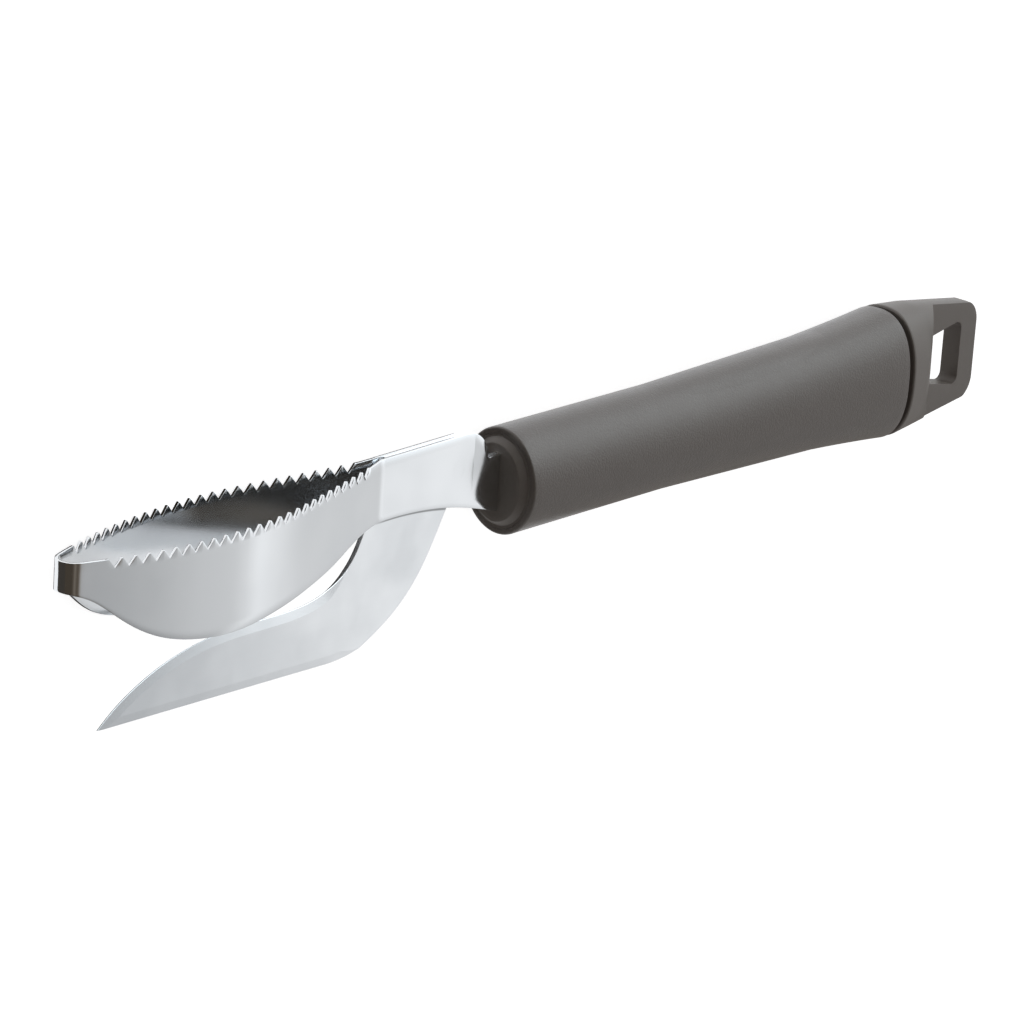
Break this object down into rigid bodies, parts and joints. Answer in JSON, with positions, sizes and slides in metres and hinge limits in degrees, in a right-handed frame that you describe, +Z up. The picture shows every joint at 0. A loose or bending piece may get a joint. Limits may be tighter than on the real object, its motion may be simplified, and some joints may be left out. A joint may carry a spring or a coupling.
{
  "type": "fish scaler",
  "caption": "Fish scaler: a toothed steel strip bent into a long closed loop, a short ground knife blade below it, and a flaring moulded handle with a flat hanging eye.",
  "frame": {"origin": "under the middle of the bounding box, on the surface that the tool lies on", "axes": "+X from the nose of the loop to the hanging eye, +Y towards the toothed edge and away from the knife, +Z up, square to the flat of the blade"},
  "size_m": [0.2658, 0.0408, 0.0193],
  "materials": {
    "strip_steel": "bright polished sheet steel",
    "blade_steel": "satin sheet steel with ground bevels",
    "core_plastic": "smooth matte dark grey moulding",
    "grip_rubber": "fine-grained matte dark grey soft grip"
  },
  "bodies": {
    "root": {"scaler_strip": "strip_steel", "knife_blade": "blade_steel", "handle_core": "core_plastic", "grip_sleeve": "grip_rubber"}
  },
  "joints": []
}
